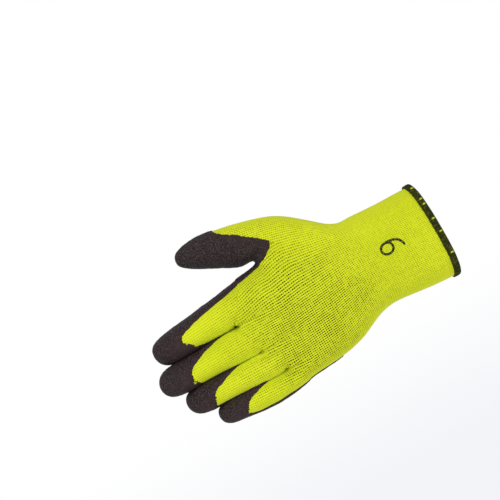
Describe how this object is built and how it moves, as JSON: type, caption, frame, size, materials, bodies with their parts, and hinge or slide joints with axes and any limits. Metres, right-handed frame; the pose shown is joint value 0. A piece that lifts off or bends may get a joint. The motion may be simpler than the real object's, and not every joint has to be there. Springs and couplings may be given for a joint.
{
  "type": "latex coated work glove",
  "caption": "Seamless knitted work glove for the left hand, its palm, thumb and fingertips dipped in crinkled latex, with an overlocked cuff edge, kept in its worn shape.",
  "frame": {"origin": "centre of the mouth of the cuff, at the outer end of its edge band", "axes": "+X out of the cuff's mouth, with the fingers along -X; +Z towards the thumb side; the back of the hand faces -Y and the palm +Y"},
  "size_m": [0.2456, 0.0466, 0.1427],
  "materials": {
    "knit": "matt yellow-green knit",
    "latex": "black crinkled latex, satin",
    "overlock": "dark olive overlock thread"
  },
  "bodies": {
    "root": {"knit_liner": "knit", "latex_coating": "latex", "cuff_overlock": "overlock"}
  },
  "joints": []
}
